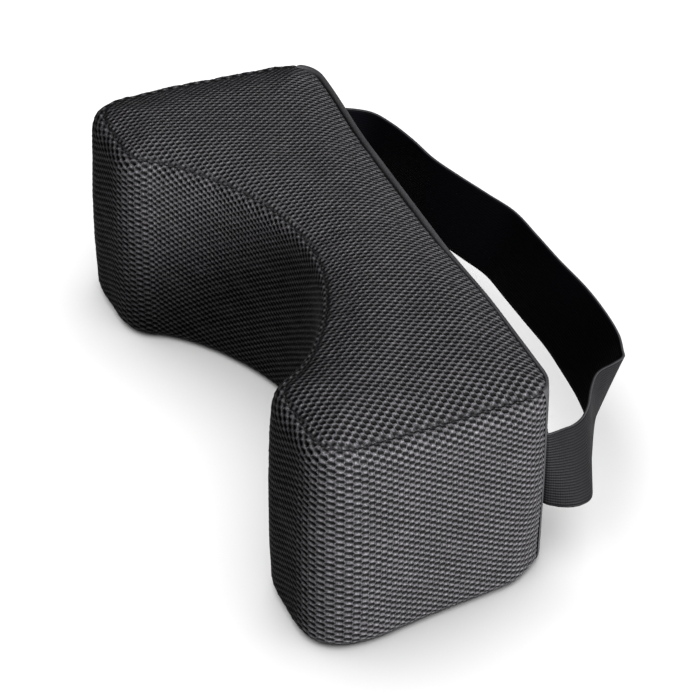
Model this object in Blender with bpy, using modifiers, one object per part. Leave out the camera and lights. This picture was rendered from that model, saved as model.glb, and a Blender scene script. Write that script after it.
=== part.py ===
"""C-shaped head-and-neck rest cushion for a wheelchair, with an elastic strap.

The cushion stands on its flat base. +Z is up, the hollow for the head faces -Y,
and the smooth back panel and the strap face +Y. Sizes are in metres. Shapes are
worked out from the back face's plane, and the origin is on the base, BACK_Y in
front of that plane.
"""
import math

import bmesh
import bpy
from mathutils import Vector

# Where the back face's plane lies from the origin on the base
BACK_Y = 0.0400

# Top panel's sewn outline, seen from above
BACK_HALF_WIDTH = 0.1490
FRONT_HALF_WIDTH_FAR = 0.1543
FRONT_HALF_WIDTH_NEAR = 0.1609
SEAM_DEPTH_FAR = 0.1269
SEAM_DEPTH_NEAR = 0.1319
BACK_CORNER_RADIUS = 0.0174
TIP_OUTER_RADIUS = 0.0192
TIP_INNER_RADIUS = 0.0240

# Hollow for the head
HOLLOW_HALF_WIDTH = 0.1033
HOLLOW_DEPTH = 0.0603
HOLLOW_CENTRE_X = 0.0022

# Back face: flat across the middle, drawn in by a few millimetres
BACK_DRAW_IN = 0.0028
BACK_FLAT_CENTRE = -0.0240
BACK_FLAT_HALF = 0.0420
BACK_RAMP = 0.0640

# Height of the top seam at the four corners, and the crown above it
SEAM_HEIGHT_TIP_FAR = 0.1202
SEAM_HEIGHT_TIP_NEAR = 0.1325
SEAM_HEIGHT_BACK_FAR = 0.1152
SEAM_HEIGHT_BACK_NEAR = 0.1174
CROWN = 0.0070
CROWN_RUN = 0.0300
SEAM_GROOVE_DEPTH = 0.0012
SEAM_GROOVE_WIDTH = 0.0014

# How far the walls stand out past the top seam
SWELL_TIP = 0.0067
SWELL_END = 0.0088
SWELL_BACK = 0.0
SWELL_HOLLOW = 0.0041
ROLL_HEIGHT = 0.0120
WALL_BOW = 0.0015
WALL_FLARE = 0.0009
BASE_RADIUS = 0.0081
BASE_RADIUS_BACK = 0.0050

# Where those change, as shares of a side's length: in from its nearer end, and over how far
HOLLOW_FADE = 0.22
TIP_FADE = 0.06
END_HOLD = 0.182
END_FADE = 0.065
RADIUS_HOLD = 0.16
RADIUS_FADE = 0.10

# Smooth back panel, sewn round its edge, with the edge rolled over the top seam
GAP = 0.0003
PANEL_THICKNESS = 0.0026
PANEL_EDGE_TURN = 0.5
PANEL_FOOT = 0.0060
PANEL_ROLL_ABOVE_SEAM = 0.0008
PANEL_CORNER = 0.0100

# Elastic strap
STRAP_WIDTH = 0.0455
STRAP_THICKNESS = 0.0016
STRAP_TURNS = (
    # Lower edge x, y, z, then how far the upper edge lies from it in x and y, in mm
    (-137.5, 1.6, 37.0, 0.0, 0.0),
    (-143.2, 1.6, 37.0, 0.2, 0.2),
    (-147.0, 4.2, 37.0, 1.5, 0.8),
    (-146.8, 10.4, 37.2, 3.0, 2.0),
    (-134.4, 23.1, 37.6, 1.4, 4.5),
    (-117.5, 28.3, 38.0, -1.1, 6.0),
    (-97.1, 31.6, 38.2, -2.6, 7.5),
    (-78.7, 34.8, 38.2, -1.6, 7.4),
    (-60.9, 39.1, 38.2, -0.5, 9.4),
    (-44.1, 44.3, 38.2, 2.5, 11.9),
    (-25.7, 49.8, 38.2, 3.5, 13.6),
    (-5.5, 50.8, 38.2, 5.0, 14.8),
    (16.7, 51.7, 38.2, 6.0, 15.7),
    (40.9, 52.7, 38.2, 7.1, 18.1),
    (63.0, 51.5, 38.2, 6.6, 19.6),
    (81.0, 50.1, 38.0, 5.6, 19.1),
    (95.0, 47.8, 37.8, 4.1, 17.1),
    (104.0, 45.7, 37.6, 0.6, 16.6),
    (112.4, 42.8, 37.4, -4.4, 11.2),
    (121.9, 39.1, 37.0, -10.9, 4.8),
    (133.7, 34.1, 36.8, -14.9, 2.3),
    (144.6, 28.0, 36.6, -15.4, 1.3),
    (151.7, 21.2, 36.4, -15.9, 1.3),
    (153.8, 14.3, 36.4, -14.4, 1.3),
    (152.7, 8.2, 36.6, -11.9, 1.3),
    (149.8, 3.6, 36.8, -6.0, 1.3),
    (144.8, 0.6, 37.0, -1.5, 0.6),
    (137.5, 1.6, 37.0, 0.0, 0.0),
)
STRAP_STEPS_PER_TURN = 4
STRAP_STEPS_ACROSS = 4

# Mesh density
ALONG = 72
ACROSS = 8
CORNER_STEPS = 6
WALK_HALVINGS = 30
HOLLOW_STEPS = 40
BACK_STEPS = 24
BASE_RINGS = 3
WALL_RINGS = 3
ROLL_RINGS = 4
PANEL_UP = 10


def smooth_step(value):
    value = min(max(value, 0.0), 1.0)
    return value * value * (3.0 - 2.0 * value)


def lerp(a, b, share):
    return a + (b - a) * share


def back_line(x):
    """How far the back face lies in front of y = 0 at x."""
    away = (abs(x - BACK_FLAT_CENTRE) - BACK_FLAT_HALF) / BACK_RAMP
    return -BACK_DRAW_IN * (1.0 - smooth_step(away))


def cushion_back(x):
    return back_line(x) - PANEL_THICKNESS - GAP


def hollow_curve():
    """The recess from the near arm's inner corner to the far arm's, as (x, y, radius)."""
    apex = HOLLOW_DEPTH - 0.5 * (SEAM_DEPTH_FAR + SEAM_DEPTH_NEAR)
    corners = []
    for step in range(HOLLOW_STEPS + 1):
        angle = math.pi * step / HOLLOW_STEPS
        across = math.cos(angle)
        rise = 0.5 * (math.sin(angle) + math.cos(0.5 * math.pi * across))
        start = lerp(-SEAM_DEPTH_NEAR, -SEAM_DEPTH_FAR, step / HOLLOW_STEPS)
        x = HOLLOW_CENTRE_X + HOLLOW_HALF_WIDTH * across
        radius = TIP_INNER_RADIUS if step in (0, HOLLOW_STEPS) else 0.0
        corners.append((x, lerp(start, apex, rise), radius))
    return corners


def outline_corners():
    """The seam outline anticlockwise from the far arm's outer front corner."""
    corners = [(-FRONT_HALF_WIDTH_FAR, -SEAM_DEPTH_FAR, TIP_OUTER_RADIUS)]
    corners += [(x, y, r) for x, y, r in reversed(hollow_curve())]
    corners.append((FRONT_HALF_WIDTH_NEAR, -SEAM_DEPTH_NEAR, TIP_OUTER_RADIUS))
    corners.append((BACK_HALF_WIDTH, cushion_back(BACK_HALF_WIDTH), BACK_CORNER_RADIUS))
    reach = BACK_HALF_WIDTH - BACK_CORNER_RADIUS
    for step in range(BACK_STEPS + 1):
        x = lerp(reach, -reach, step / BACK_STEPS)
        corners.append((x, cushion_back(x), 0.0))
    corners.append((-BACK_HALF_WIDTH, cushion_back(-BACK_HALF_WIDTH), BACK_CORNER_RADIUS))
    return corners


def walk(points, index, direction, reach):
    """The outline's place at a distance from one of its corners, and the next point past it."""
    corner = points[index]
    count = len(points)
    place = index + direction
    while (points[place % count] - corner).length < reach:
        place += direction
    inside = points[(place - direction) % count]
    outside = points[place % count]
    low, high = 0.0, 1.0
    for _ in range(WALK_HALVINGS):
        middle = 0.5 * (low + high)
        if (inside.lerp(outside, middle) - corner).length < reach:
            low = middle
        else:
            high = middle
    return inside.lerp(outside, low), place


def rounded_corner(points, index, radius):
    """Points of the curve that rounds a corner, and the outline points just before and after it."""
    corner = points[index]
    to_before = walk(points, index, -1, radius)[0] - corner
    to_after = walk(points, index, 1, radius)[0] - corner
    reach = radius / math.tan(0.5 * to_before.angle(to_after))
    start, before = walk(points, index, -1, reach)
    end, after = walk(points, index, 1, reach)
    curve = []
    for step in range(CORNER_STEPS + 1):
        share = step / CORNER_STEPS
        inner = start.lerp(corner, share)
        outer = corner.lerp(end, share)
        curve.append(inner.lerp(outer, share))
    return curve, before, after


def seam_path():
    """The closed seam outline as points, with the marks of the corners."""
    points = []
    curves = {}
    passed = set()
    corners = outline_corners()
    for x, y, _ in corners:
        points.append(Vector((x, y)))
    count = len(points)
    for index, (_, _, radius) in enumerate(corners):
        if radius > 0.0:
            curves[index], before, after = rounded_corner(points, index, radius)
            passed.update(place % count for place in range(before + 1, after))
    path = []
    marks = []
    for index, point in enumerate(points):
        if index in curves:
            marks.append(len(path) + CORNER_STEPS // 2)
            path += curves[index]
        elif index not in passed:
            path.append(point)
    return path, marks


def resample(points, steps):
    """Points at equal distances along an open path."""
    lengths = [0.0]
    for a, b in zip(points, points[1:]):
        lengths.append(lengths[-1] + (b - a).length)
    samples = []
    place = 0
    for step in range(steps + 1):
        target = lengths[-1] * step / steps
        while place < len(points) - 2 and lengths[place + 1] < target:
            place += 1
        span = lengths[place + 1] - lengths[place]
        share = (target - lengths[place]) / span if span > 0.0 else 0.0
        samples.append(points[place].lerp(points[place + 1], min(share, 1.0)))
    return samples


def between(path, start, end):
    if start <= end:
        return path[start:end + 1]
    return path[start:] + path[:end + 1]


def outline_sides():
    """The far tip, the hollow, the near tip and the outer side, each as equal steps."""
    path, marks = seam_path()
    far_outer, far_inner, near_inner, near_outer = marks[:4]
    far_tip = resample(between(path, far_outer, far_inner), ACROSS)
    hollow = resample(between(path, far_inner, near_inner), ALONG)
    near_tip = resample(between(path, near_inner, near_outer), ACROSS)
    outer = resample(between(path, near_outer, far_outer), ALONG)
    return far_tip, hollow, near_tip, outer


def swell_at(side, share):
    """How far the wall stands out at a share of a side's length."""
    if side in ("far_tip", "near_tip"):
        return SWELL_TIP
    away = min(share, 1.0 - share)
    if side == "hollow":
        return lerp(SWELL_TIP, SWELL_HOLLOW, smooth_step(away / HOLLOW_FADE))
    tip_to_end = lerp(SWELL_TIP, SWELL_END, smooth_step(away / TIP_FADE))
    return lerp(tip_to_end, SWELL_BACK, smooth_step((away - END_HOLD) / END_FADE))


def base_radius_at(side, share):
    if side != "outer":
        return BASE_RADIUS
    away = min(share, 1.0 - share)
    return lerp(BASE_RADIUS, BASE_RADIUS_BACK, smooth_step((away - RADIUS_HOLD) / RADIUS_FADE))


def wall_loop():
    """The seam outline as one closed loop of (point, outward, swell, base radius)."""
    names = ("far_tip", "hollow", "near_tip", "outer")
    loop = []
    for name, points in zip(names, outline_sides()):
        steps = len(points) - 1
        for step in range(steps):
            share = step / steps
            loop.append((points[step], swell_at(name, share), base_radius_at(name, share)))
    rows = []
    count = len(loop)
    for index, (point, swell, radius) in enumerate(loop):
        along = loop[(index + 1) % count][0] - loop[index - 1][0]
        outward = Vector((along.y, -along.x)).normalized()
        rows.append((point, outward, swell, radius))
    return rows


def seam_height(x, y):
    """Height of the top seam, from its heights at the four corners."""
    share_x = smooth_step((x + FRONT_HALF_WIDTH_FAR) / (FRONT_HALF_WIDTH_FAR + FRONT_HALF_WIDTH_NEAR))
    share_y = min(max(-y / SEAM_DEPTH_FAR, 0.0), 1.0)
    back = lerp(SEAM_HEIGHT_BACK_FAR, SEAM_HEIGHT_BACK_NEAR, share_x)
    front = lerp(SEAM_HEIGHT_TIP_FAR, SEAM_HEIGHT_TIP_NEAR, share_x)
    return lerp(back, front, share_y)


def ring_profile():
    """Rings from the floor to the seam: (kind, share of its stretch)."""
    rings = [("base", step / BASE_RINGS) for step in range(BASE_RINGS + 1)]
    rings += [("wall", step / (WALL_RINGS + 1)) for step in range(1, WALL_RINGS + 1)]
    rings += [("roll", step / ROLL_RINGS) for step in range(ROLL_RINGS + 1)]
    rings.append(("groove", 1.0))
    return rings


def wall_offset(row, height):
    """How far the wall stands out from the seam's outline at a height."""
    point, _, swell, radius = row
    roll_start = seam_height(point.x, point.y) - ROLL_HEIGHT
    fullness = min(swell / SWELL_TIP, 1.0)
    if height < radius:
        rise = radius - height
        return swell + WALL_FLARE * fullness - radius + math.sqrt(radius * radius - rise * rise)
    if height < roll_start:
        share = (height - radius) / (roll_start - radius)
        bow = WALL_BOW * math.sin(math.pi * share) + WALL_FLARE * (1.0 - share)
        return swell + bow * fullness
    share = min((height - roll_start) / ROLL_HEIGHT, 1.0)
    return swell * math.sqrt(1.0 - share * share)


def ring_point(row, kind, share):
    point, outward, _, radius = row
    top = seam_height(point.x, point.y)
    roll_start = top - ROLL_HEIGHT
    if kind == "base":
        height = radius * (1.0 - math.cos(0.5 * math.pi * share))
    elif kind == "wall":
        height = lerp(radius, roll_start, share)
    else:
        height = lerp(roll_start, top, math.sin(0.5 * math.pi * share))
    offset = wall_offset(row, height)
    if kind == "groove":
        offset = -SEAM_GROOVE_WIDTH
        height = top - SEAM_GROOVE_DEPTH
    flat = point + outward * offset
    return Vector((flat.x, flat.y, height))


def patch(loop):
    """Fills a closed loop of the C outline with a grid of points that blends its sides."""
    far_tip = loop[:ACROSS + 1]
    hollow = loop[ACROSS:ACROSS + ALONG + 1]
    near_tip = loop[ACROSS + ALONG:2 * ACROSS + ALONG + 1]
    outer = loop[2 * ACROSS + ALONG:] + loop[:1]
    outer = outer[::-1]
    near_tip = near_tip[::-1]
    grid = []
    for i in range(ALONG + 1):
        s = i / ALONG
        row = []
        for j in range(ACROSS + 1):
            t = j / ACROSS
            sides = outer[i].lerp(hollow[i], t) + far_tip[j].lerp(near_tip[j], s)
            corners = outer[0].lerp(hollow[0], t).lerp(outer[-1].lerp(hollow[-1], t), s)
            row.append(sides - corners)
        grid.append(row)
    return grid


def loop_indices():
    """Grid places (i, j) of the closed loop, in the loop's own order."""
    places = [(0, j) for j in range(ACROSS)]
    places += [(i, ACROSS) for i in range(ALONG)]
    places += [(ALONG, j) for j in range(ACROSS, 0, -1)]
    places += [(i, 0) for i in range(ALONG, 0, -1)]
    return places


def crown_height(flat, seam):
    """Height of the top panel over its seam, which grows with the distance from the seam."""
    away = min((flat.xy - point).length for point in seam)
    fall = 1.0 - min(away / CROWN_RUN, 1.0)
    return CROWN * (1.0 - fall * fall)


def add_cap(bm, grid, edge_verts, height, facing_up):
    """Closes one end of the wall with a grid whose rim is the wall's last ring."""
    places = {place: vert for place, vert in zip(loop_indices(), edge_verts)}
    verts = {}
    for i in range(ALONG + 1):
        for j in range(ACROSS + 1):
            if (i, j) in places:
                verts[i, j] = places[i, j]
                continue
            flat = grid[i][j]
            verts[i, j] = bm.verts.new((flat.x, flat.y, height(flat)))
    for i in range(ALONG):
        for j in range(ACROSS):
            ring = [verts[i, j], verts[i, j + 1], verts[i + 1, j + 1], verts[i + 1, j]]
            bm.faces.new(ring if facing_up else ring[::-1])


def build_cushion():
    rows = wall_loop()
    bm = bmesh.new()
    rings = []
    for kind, share in ring_profile():
        rings.append([bm.verts.new(ring_point(row, kind, share)) for row in rows])
    count = len(rows)
    for lower, upper in zip(rings, rings[1:]):
        for index in range(count):
            after = (index + 1) % count
            bm.faces.new((lower[index], lower[after], upper[after], upper[index]))
    base = patch([vert.co.copy() for vert in rings[0]])
    add_cap(bm, base, rings[0], lambda flat: 0.0, facing_up=False)
    top = patch([vert.co.copy() for vert in rings[-1]])
    seam = [row[0] for row in rows]
    add_cap(bm, top, rings[-1],
            lambda flat: seam_height(flat.x, flat.y) + crown_height(flat, seam), facing_up=True)
    bmesh.ops.recalc_face_normals(bm, faces=bm.faces)
    return finish_mesh(bm, "cushion")


def finish_mesh(bm, name):
    mesh = bpy.data.meshes.new(name)
    bm.to_mesh(mesh)
    bm.free()
    mesh.shade_smooth()
    return bpy.data.objects.new(name, mesh)


def build_back_panel():
    """A sewn sheet over the back and round its upright corners, rolled up over the top seam."""
    columns = [row for row in wall_loop() if row[1].y > PANEL_EDGE_TURN]
    run = [0.0]
    for row, after in zip(columns, columns[1:]):
        run.append(run[-1] + (after[0] - row[0]).length)
    bm = bmesh.new()
    grid = []
    for row, place in zip(columns, run):
        point, outward, _, _ = row
        from_edge = min(place, run[-1] - place)
        corner = max(PANEL_CORNER - from_edge, 0.0)
        drop = PANEL_CORNER - math.sqrt(PANEL_CORNER * PANEL_CORNER - corner * corner)
        top = seam_height(point.x, point.y) + PANEL_ROLL_ABOVE_SEAM - drop
        column = []
        for step in range(PANEL_UP + 1):
            height = lerp(PANEL_FOOT + drop, top, step / PANEL_UP)
            flat = point + outward * (wall_offset(row, height) + GAP)
            column.append(bm.verts.new((flat.x, flat.y, height)))
        grid.append(column)
    for left, right in zip(grid, grid[1:]):
        for step in range(PANEL_UP):
            bm.faces.new((left[step], right[step], right[step + 1], left[step + 1]))
    panel = finish_mesh(bm, "back_panel")
    add_thickness(panel, PANEL_THICKNESS, 1.0)
    return panel


def add_thickness(item, thickness, offset):
    solid = item.modifiers.new("cloth thickness", "SOLIDIFY")
    solid.thickness = thickness
    solid.offset = offset
    solid.use_even_offset = True


def curve_through(rows, place):
    """A smooth curve through rows of numbers, read at a place counted in rows."""
    last = len(rows) - 1
    start = min(int(place), last - 1)
    share = place - start
    before = rows[max(start - 1, 0)]
    a = rows[start]
    b = rows[start + 1]
    after = rows[min(start + 2, last)]
    values = []
    for p0, p1, p2, p3 in zip(before, a, b, after):
        bend = (2.0 * p0 - 5.0 * p1 + 4.0 * p2 - p3) * share ** 2
        twist = (3.0 * p1 - p0 - 3.0 * p2 + p3) * share ** 3
        values.append(0.5 * (2.0 * p1 + (p2 - p0) * share + bend + twist))
    return values


def strap_edges():
    """Lower and upper edge points along the strap, the strap's width apart."""
    edges = []
    turns = len(STRAP_TURNS) - 1
    for step in range(turns * STRAP_STEPS_PER_TURN + 1):
        x, y, z, lean_x, lean_y = curve_through(STRAP_TURNS, step / STRAP_STEPS_PER_TURN)
        lower = Vector((x, y, z)) * 0.001
        lean = Vector((lean_x, lean_y)) * 0.001
        rise = math.sqrt(max(STRAP_WIDTH ** 2 - lean.length_squared, 0.0))
        edges.append((lower, lower + Vector((lean.x, lean.y, rise))))
    return edges


def build_strap():
    bm = bmesh.new()
    columns = []
    for lower, upper in strap_edges():
        shares = [step / STRAP_STEPS_ACROSS for step in range(STRAP_STEPS_ACROSS + 1)]
        columns.append([bm.verts.new(lower.lerp(upper, share)) for share in shares])
    for left, right in zip(columns, columns[1:]):
        for step in range(STRAP_STEPS_ACROSS):
            bm.faces.new((left[step], right[step], right[step + 1], left[step + 1]))
    strap = finish_mesh(bm, "strap")
    add_thickness(strap, STRAP_THICKNESS, 0.0)
    return strap


def add_material(item, colour, roughness):
    material = bpy.data.materials.new(item.name)
    material.use_nodes = True
    shader = material.node_tree.nodes["Principled BSDF"]
    shader.inputs["Base Color"].default_value = (*colour, 1.0)
    shader.inputs["Roughness"].default_value = roughness
    shader.inputs["Metallic"].default_value = 0.0
    item.data.materials.append(material)


def clear_scene():
    for item in list(bpy.data.objects):
        bpy.data.objects.remove(item, do_unlink=True)


def build():
    clear_scene()
    parts = bpy.data.collections.new("head rest cushion")
    bpy.context.scene.collection.children.link(parts)
    finishes = (
        (build_cushion(), (0.045, 0.046, 0.050), 0.85),
        (build_back_panel(), (0.030, 0.031, 0.034), 0.80),
        (build_strap(), (0.060, 0.061, 0.066), 0.75),
    )
    for item, colour, roughness in finishes:
        item.location.y = BACK_Y
        add_material(item, colour, roughness)
        parts.objects.link(item)


build()
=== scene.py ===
"""Head rest cushion in air mesh with a knit back panel and an elastic strap.

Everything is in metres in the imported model's frame: +Z up, the hollow faces -Y,
the back panel and the strap face +Y. Shapes are worked out from the back face's
plane and then moved by BACK_Y, as in the solids' source.
"""

import math

import bpy
import numpy as np
from mathutils import Matrix, Vector


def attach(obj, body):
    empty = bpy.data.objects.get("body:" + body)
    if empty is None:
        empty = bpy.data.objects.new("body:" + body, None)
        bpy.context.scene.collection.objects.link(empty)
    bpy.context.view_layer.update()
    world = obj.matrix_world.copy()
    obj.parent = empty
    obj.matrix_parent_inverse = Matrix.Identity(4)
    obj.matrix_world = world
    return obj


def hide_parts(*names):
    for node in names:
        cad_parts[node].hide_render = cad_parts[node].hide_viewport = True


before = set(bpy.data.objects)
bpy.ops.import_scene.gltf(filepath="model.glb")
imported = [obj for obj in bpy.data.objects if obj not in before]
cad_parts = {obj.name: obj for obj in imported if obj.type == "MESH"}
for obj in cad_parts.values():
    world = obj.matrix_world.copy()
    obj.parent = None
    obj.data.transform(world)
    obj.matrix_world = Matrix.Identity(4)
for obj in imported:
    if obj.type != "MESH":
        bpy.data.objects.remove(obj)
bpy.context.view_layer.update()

BACK_Y = 0.0400
MM = 0.001

# Sewn outline of the top panel
BACK_HALF_WIDTH = 0.1490
FRONT_HALF_WIDTH_FAR = 0.1543
FRONT_HALF_WIDTH_NEAR = 0.1609
SEAM_DEPTH_FAR = 0.1269
SEAM_DEPTH_NEAR = 0.1319
BACK_CORNER_RADIUS = 0.0174
TIP_OUTER_RADIUS = 0.0192
TIP_INNER_RADIUS = 0.0240
HOLLOW_HALF_WIDTH = 0.1033
HOLLOW_DEPTH = 0.0603
HOLLOW_CENTRE_X = 0.0022
BACK_DRAW_IN = 0.0028
BACK_FLAT_CENTRE = -0.0240
BACK_FLAT_HALF = 0.0420
BACK_RAMP = 0.0640

# Heights and swell
SEAM_HEIGHT_TIP_FAR = 0.1202
SEAM_HEIGHT_TIP_NEAR = 0.1325
SEAM_HEIGHT_BACK_FAR = 0.1152
SEAM_HEIGHT_BACK_NEAR = 0.1174
CROWN = 0.0070
CROWN_RUN = 0.0300
SWELL_TIP = 0.0067
SWELL_END = 0.0088
SWELL_BACK = 0.0
SWELL_HOLLOW = 0.0041
ROLL_HEIGHT = 0.0120
WALL_BOW = 0.0015
WALL_FLARE = 0.0009
BASE_RADIUS = 0.0081
BASE_RADIUS_BACK = 0.0050

# Where those change, as shares of a side's length: in from its nearer end, and over how far
HOLLOW_FADE = 0.22
TIP_FADE = 0.06
END_HOLD = 0.182
END_FADE = 0.065
RADIUS_HOLD = 0.16
RADIUS_FADE = 0.10

# Steps along the outline, and how many samples it is smoothed over to each side
CORNER_STEPS = 24
WALK_HALVINGS = 30
HOLLOW_STEPS = 160
BACK_POINTS = 120
BACK_INSET = 0.002
LOOP_SAMPLES = 2400
OUTLINE_BLUR = 5
SWELL_BLUR = 8
NORMAL_BLUR = 10

# Back panel: which part of the wall it covers, and where it is drawn tight over the near half
PANEL_THICKNESS = 0.0026
PANEL_EDGE_TURN = 0.5
PANEL_TIGHT_SHARE = 0.35
PANEL_TIGHT_FROM = 0.055
PANEL_TIGHT_RUN = 0.05
GAP = 0.0003


def smooth_step(v):
    v = np.clip(v, 0.0, 1.0)
    return v * v * (3.0 - 2.0 * v)


def lerp(a, b, share):
    return a + (b - a) * share


def fade(distance, reach):
    """A bell curve that is 1 at no distance."""
    return np.exp(-(distance / reach) ** 2)


# Seam outline

def back_line(x):
    """How far the back face lies in front of y = 0 at x."""
    away = (np.abs(x - BACK_FLAT_CENTRE) - BACK_FLAT_HALF) / BACK_RAMP
    return -BACK_DRAW_IN * (1.0 - smooth_step(away))


def panel_fullness(x):
    """The back panel is slack over the far half and drawn tight over the near half."""
    return lerp(PANEL_TIGHT_SHARE, 1.0, smooth_step((PANEL_TIGHT_FROM - x) / PANEL_TIGHT_RUN))


def cushion_back(x):
    return back_line(x) - PANEL_THICKNESS * panel_fullness(x) - GAP


def walk(points, index, direction, reach):
    """The point at a distance from a corner along the path, and the next path index past it."""
    count = len(points)
    corner = points[index]
    following = index + direction
    while np.linalg.norm(points[following % count] - corner) < reach:
        following += direction
    inside = points[(following - direction) % count]
    outside = points[following % count]
    low, high = 0.0, 1.0
    for _ in range(WALK_HALVINGS):
        middle = 0.5 * (low + high)
        if np.linalg.norm(lerp(inside, outside, middle) - corner) < reach:
            low = middle
        else:
            high = middle
    return lerp(inside, outside, low), following


def corner_angle(points, index, radius):
    """The angle at a corner between the path's places a radius before and after it."""
    a = walk(points, index, -1, radius)[0] - points[index]
    b = walk(points, index, 1, radius)[0] - points[index]
    return math.acos(np.dot(a, b) / np.linalg.norm(a) / np.linalg.norm(b))


def round_corner(points, index, radius):
    """The curve that rounds a corner, and the path indices just before and after it."""
    corner = points[index]
    reach = radius / math.tan(0.5 * corner_angle(points, index, radius))
    start, before = walk(points, index, -1, reach)
    end, after = walk(points, index, 1, reach)
    curve = []
    for step in range(CORNER_STEPS + 1):
        share = step / CORNER_STEPS
        inner = lerp(start, corner, share)
        outer = lerp(corner, end, share)
        curve.append(lerp(inner, outer, share))
    return curve, before, after


def hollow_points():
    """The recess from the far arm's inner corner to the near arm's."""
    apex = HOLLOW_DEPTH - 0.5 * (SEAM_DEPTH_FAR + SEAM_DEPTH_NEAR)
    points = []
    for step in range(HOLLOW_STEPS, -1, -1):
        angle = math.pi * step / HOLLOW_STEPS
        across = math.cos(angle)
        rise = 0.5 * (math.sin(angle) + math.cos(0.5 * math.pi * across))
        start = lerp(-SEAM_DEPTH_NEAR, -SEAM_DEPTH_FAR, step / HOLLOW_STEPS)
        points.append((HOLLOW_CENTRE_X + HOLLOW_HALF_WIDTH * across, lerp(start, apex, rise)))
    return points


def outline_corners():
    """The seam outline anticlockwise from the far arm's outer corner, and its radii by index."""
    points = [(-FRONT_HALF_WIDTH_FAR, -SEAM_DEPTH_FAR)]
    points += hollow_points()
    near_inner = len(points) - 1
    points.append((FRONT_HALF_WIDTH_NEAR, -SEAM_DEPTH_NEAR))
    points.append((BACK_HALF_WIDTH, cushion_back(BACK_HALF_WIDTH)))
    reach = BACK_HALF_WIDTH - BACK_INSET
    points += [(x, cushion_back(x)) for x in np.linspace(reach, -reach, BACK_POINTS)]
    points.append((-BACK_HALF_WIDTH, cushion_back(-BACK_HALF_WIDTH)))
    radii = {
        0: TIP_OUTER_RADIUS,
        1: TIP_INNER_RADIUS,
        near_inner: TIP_INNER_RADIUS,
        near_inner + 1: TIP_OUTER_RADIUS,
        near_inner + 2: BACK_CORNER_RADIUS,
        len(points) - 1: BACK_CORNER_RADIUS,
    }
    return [np.array(point) for point in points], radii


def outline():
    """The closed seam outline with its corners rounded, and the marks of the corners."""
    points, radii = outline_corners()
    count = len(points)
    curves = {}
    passed = set()
    for index, radius in radii.items():
        curves[index], before, after = round_corner(points, index, radius)
        passed.update(place % count for place in range(before + 1, after))
    path = []
    marks = []
    for index, point in enumerate(points):
        if index in curves:
            marks.append(len(path) + len(curves[index]) // 2)
            path += curves[index]
        elif index not in passed:
            path.append(point)
    return np.array(path), marks


def arc_lengths(points, closed=True):
    ahead = np.roll(points, -1, axis=0) if closed else points[1:]
    behind = points if closed else points[:-1]
    return np.concatenate([[0.0], np.cumsum(np.linalg.norm(ahead - behind, axis=1))])


def side_shape(kind, away):
    """Swell and base radius along one side, at shares of its length in from its nearer end."""
    radius = np.full(len(away), BASE_RADIUS)
    if kind == "tip":
        return np.full(len(away), SWELL_TIP), radius
    if kind == "hollow":
        return lerp(SWELL_TIP, SWELL_HOLLOW, smooth_step(away / HOLLOW_FADE)), radius
    tip_to_end = lerp(SWELL_TIP, SWELL_END, smooth_step(away / TIP_FADE))
    swell = lerp(tip_to_end, SWELL_BACK, smooth_step((away - END_HOLD) / END_FADE))
    turn = smooth_step((away - RADIUS_HOLD) / RADIUS_FADE)
    return swell, lerp(BASE_RADIUS, BASE_RADIUS_BACK, turn)


class Loop:
    """The seam outline as evenly spaced samples, with the wall's swell and base radius."""

    def __init__(self):
        path, marks = outline()
        path = np.roll(path, -marks[0], axis=0)
        run = arc_lengths(path)
        closed = np.vstack([path, path[:1]])
        self.length = run[-1]
        self.at = np.arange(LOOP_SAMPLES) * self.length / LOOP_SAMPLES
        self.marks = [run[mark - marks[0]] for mark in marks[:4]] + [self.length]
        swell = np.empty(LOOP_SAMPLES)
        radius = np.empty(LOOP_SAMPLES)
        kinds = ("tip", "hollow", "tip", "outer")
        for kind, start, end in zip(kinds, self.marks, self.marks[1:]):
            here = (self.at >= start) & (self.at < end)
            share = (self.at[here] - start) / (end - start)
            swell[here], radius[here] = side_shape(kind, np.minimum(share, 1.0 - share))
        self.swell = self.blur(swell, SWELL_BLUR)
        self.radius = self.blur(radius, SWELL_BLUR)
        xy = np.stack([np.interp(self.at, run, closed[:, k]) for k in (0, 1)], axis=1)
        self.xy = self.blur(xy, OUTLINE_BLUR)
        along = np.roll(self.xy, -1, axis=0) - np.roll(self.xy, 1, axis=0)
        normal = self.unit(np.stack([along[:, 1], -along[:, 0]], axis=1))
        self.normal = self.unit(self.blur(normal, NORMAL_BLUR))

    @staticmethod
    def unit(vectors):
        return vectors / np.linalg.norm(vectors, axis=1)[:, None]

    @staticmethod
    def blur(values, reach):
        weights = np.hanning(2 * reach + 3)[1:-1]
        weights /= weights.sum()
        total = np.zeros_like(values)
        for k, weight in enumerate(weights):
            total += weight * np.roll(values, k - reach, axis=0)
        return total

    def read(self, values, s):
        place = (np.asarray(s) / self.length) % 1.0 * LOOP_SAMPLES
        low = np.floor(place).astype(int)
        share = place - low
        low %= LOOP_SAMPLES
        return values[low] * (1.0 - share) + values[(low + 1) % LOOP_SAMPLES] * share

    def place_at(self, s):
        return self.read(self.xy[:, 0], s), self.read(self.xy[:, 1], s)

    def normal_at(self, s):
        return self.read(self.normal[:, 0], s), self.read(self.normal[:, 1], s)


loop = Loop()


def flat_normals(s):
    """The wall's level outward normals at arc lengths s."""
    return np.stack([*loop.normal_at(s), np.zeros(len(s))], axis=1)


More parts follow.
